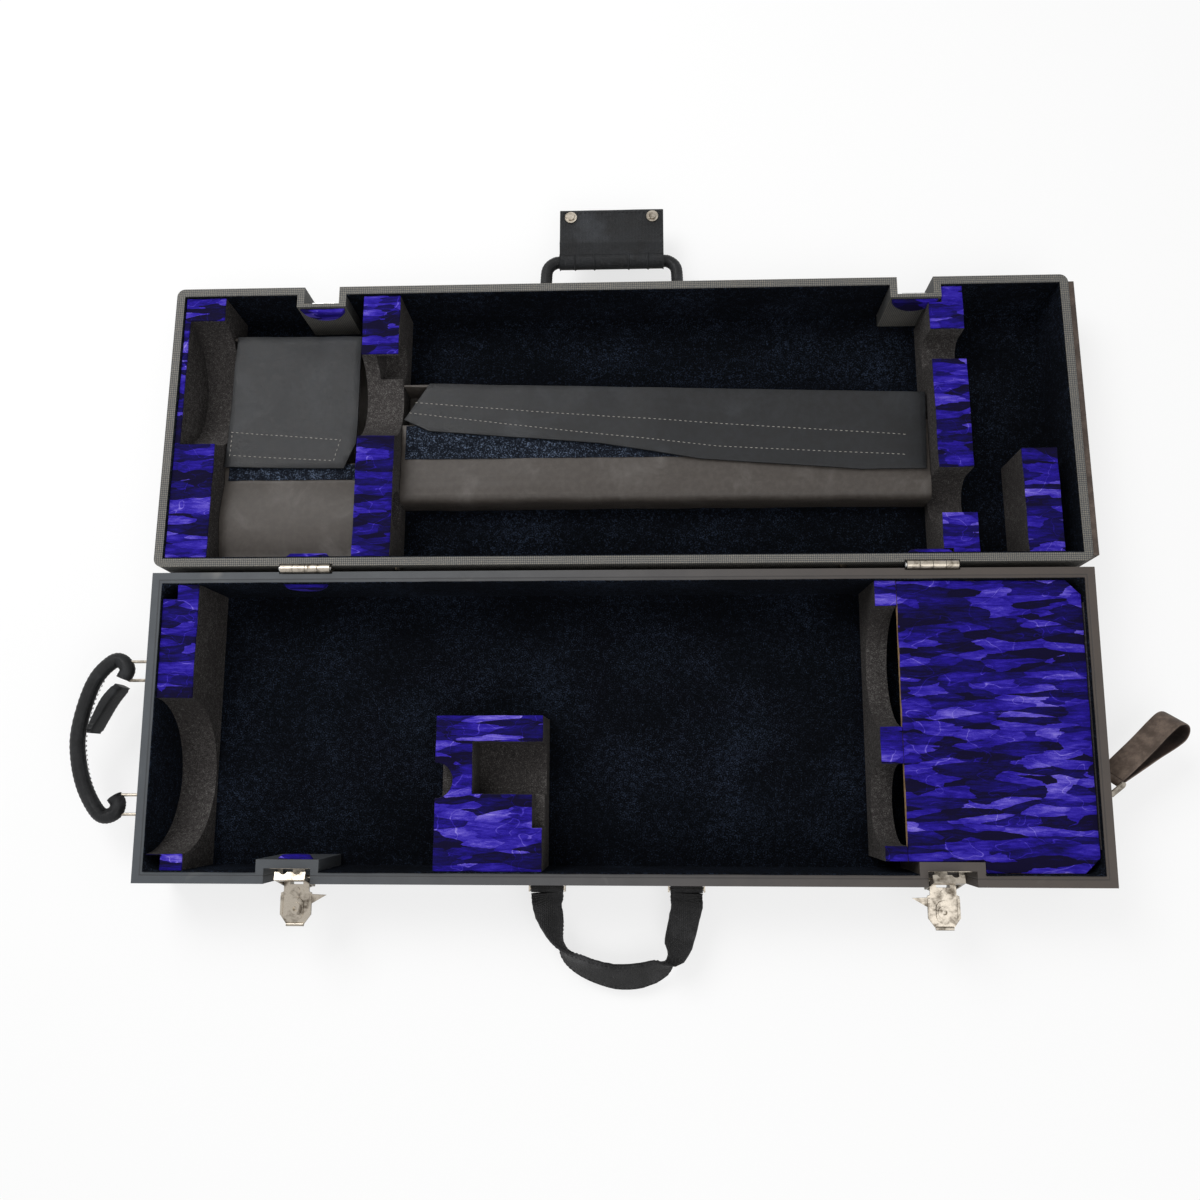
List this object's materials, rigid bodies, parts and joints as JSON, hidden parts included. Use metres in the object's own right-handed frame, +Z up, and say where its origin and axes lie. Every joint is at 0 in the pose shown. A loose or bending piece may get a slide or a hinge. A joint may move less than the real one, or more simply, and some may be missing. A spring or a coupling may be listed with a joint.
{
  "type": "clarinet case",
  "caption": "Long hard case standing open: padded base, shallow hinged lid laid back, shaped cradles, covered compartment, flap pouches, draw latches and carrying handles.",
  "frame": {"origin": "centre of the bottom face of the base, on the surface the case stands on", "axes": "+X along the case to the right, +Y from the base's front towards the hinges and the lid, +Z up"},
  "size_m": [0.9277, 0.6857, 0.0827],
  "materials": {
    "shell": "smooth leatherette over plywood, satin",
    "lid_shell": "woven-grain leatherette over plywood, satin",
    "plush": "short dark plush, matt",
    "velvet": "crushed blue velvet",
    "card": "grey lining cloth over card, matt",
    "wood": "bare softwood block",
    "nickel": "nickel plate, lightly worn",
    "steel": "plain steel, satin",
    "brass": "brass, worn plating",
    "black_leather": "black grained leather, stitched",
    "brown_leather": "brown strap leather",
    "pouch_leather": "soft dark leatherette, worn",
    "pouch_body": "grey lining cloth",
    "tape": "woven binding tape"
  },
  "bodies": {
    "base": {"base_walls": "shell", "base_bottom": "shell", "base_lining": "plush", "base_left_block": "card", "base_left_velvet": "velvet", "base_centre_block": "card", "base_centre_velvet": "velvet", "base_right_cradle": "card", "base_right_velvet": "velvet", "compartment_hinge_strip": "card", "compartment_cleats": "wood", "base_screw_pads": "velvet", "base_hinge_leaves": "nickel", "base_hinge_screws": "nickel", "hinge_pins": "steel", "base_glides": "nickel", "latch_bracket_left": "nickel", "latch_bracket_right": "nickel", "latch_rods": "steel", "base_fitting_screws": "nickel", "front_strap_anchors": "nickel", "end_handle_anchors": "nickel", "right_strap_anchor": "nickel"},
    "lid": {"lid_walls": "lid_shell", "lid_panel": "lid_shell", "lid_lining": "plush", "lid_left_block": "card", "lid_left_cradle": "card", "lid_right_cradle": "card", "lid_end_block": "card", "lid_left_velvet": "velvet", "lid_cradle_velvet": "velvet", "lid_screw_pads": "velvet", "lid_hinge_leaves": "nickel", "lid_hinge_screws": "nickel", "lid_glides": "nickel", "strike_plates": "steel", "short_pouch": "pouch_body", "long_pouch": "pouch_body", "pouch_tapes": "tape", "lid_end_board": "brown_leather", "lid_handle_anchors": "nickel"},
    "left_lever": {"latch_lever_left": "nickel"},
    "right_lever": {"latch_lever_right": "nickel"},
    "left_hook": {"latch_hook_left": "nickel"},
    "right_hook": {"latch_hook_right": "nickel"},
    "compartment_lid": {"compartment_lid_board": "wood", "compartment_lid_velvet": "velvet"},
    "front_strap": {"front_strap": "black_leather"},
    "end_handle": {"end_handle_grip": "black_leather", "end_handle_flap": "black_leather", "end_handle_bails": "nickel"},
    "right_strap": {"right_strap": "brown_leather"},
    "lid_handle": {"lid_handle_core": "black_leather", "lid_handle_sleeve": "black_leather"},
    "handle_wrap": {"lid_handle_flap": "black_leather", "handle_snaps": "brass"},
    "short_flap": {"short_flap": "pouch_leather"},
    "long_flap": {"long_flap": "pouch_leather"}
  },
  "joints": [
    {"name": "lid_hinge", "type": "hinge", "parent": "base", "child": "lid", "pos_m": [0, 0.12965, 0.0713], "axis": [1, 0, 0], "range_deg": [0, 182.27]},
    {"name": "left_latch", "type": "hinge", "parent": "base", "child": "left_lever", "pos_m": [-0.2575, -0.1235, 0.057], "axis": [1, 0, 0], "range_deg": [0, 90]},
    {"name": "right_latch", "type": "hinge", "parent": "base", "child": "right_lever", "pos_m": [0.2575, -0.1235, 0.057], "axis": [1, 0, 0], "range_deg": [0, 90]},
    {"name": "left_hook_pivot", "type": "hinge", "parent": "left_lever", "child": "left_hook", "pos_m": [-0.2575, -0.1285, 0.0545], "axis": [1, 0, 0], "range_deg": [-98, 0]},
    {"name": "right_hook_pivot", "type": "hinge", "parent": "right_lever", "child": "right_hook", "pos_m": [0.2575, -0.1285, 0.0545], "axis": [1, 0, 0], "range_deg": [-98, 0]},
    {"name": "compartment_hinge", "type": "hinge", "parent": "base", "child": "compartment_lid", "pos_m": [0.3783, 0, 0.07], "axis": [0, -1, 0], "range_deg": [-92, 0]},
    {"name": "front_strap_swing", "type": "hinge", "parent": "base", "child": "front_strap", "pos_m": [0, -0.1322, 0.0375], "axis": [1, 0, 0], "range_deg": [-80, 0]},
    {"name": "end_handle_swing", "type": "hinge", "parent": "base", "child": "end_handle", "pos_m": [-0.395, -0.0094, 0.046], "axis": [0, -1, 0], "range_deg": [-70, 0]},
    {"name": "right_strap_swing", "type": "hinge", "parent": "base", "child": "right_strap", "pos_m": [0.4, -0.042, 0.046], "axis": [-0.379, 0.4851, -0.788], "range_deg": [-38, 0]},
    {"name": "lid_handle_swing", "type": "hinge", "parent": "lid", "child": "lid_handle", "pos_m": [-0.004, 0.3921, 0.0359], "axis": [-1, 0, 0], "range_deg": [-80, 0]},
    {"name": "handle_wrap_fold", "type": "hinge", "parent": "lid_handle", "child": "handle_wrap", "pos_m": [-0.004, 0.4272, 0.03751], "axis": [-1, 0, 0], "range_deg": [-110, 0]},
    {"name": "short_flap_fold", "type": "hinge", "parent": "lid", "child": "short_flap", "pos_m": [-0.285, 0.35045, 0.03664], "axis": [1, 0, 0], "range_deg": [-100, 0]},
    {"name": "long_flap_fold", "type": "hinge", "parent": "lid", "child": "long_flap", "pos_m": [0.052, 0.2965, 0.03878], "axis": [0.9995, -0.032, 0.0013], "range_deg": [-100, 0]}
  ],
  "couplings": [
    {"joint": "left_hook_pivot", "follows": "left_latch", "ratio": -0.91111},
    {"joint": "right_hook_pivot", "follows": "right_latch", "ratio": -0.91111}
  ]
}
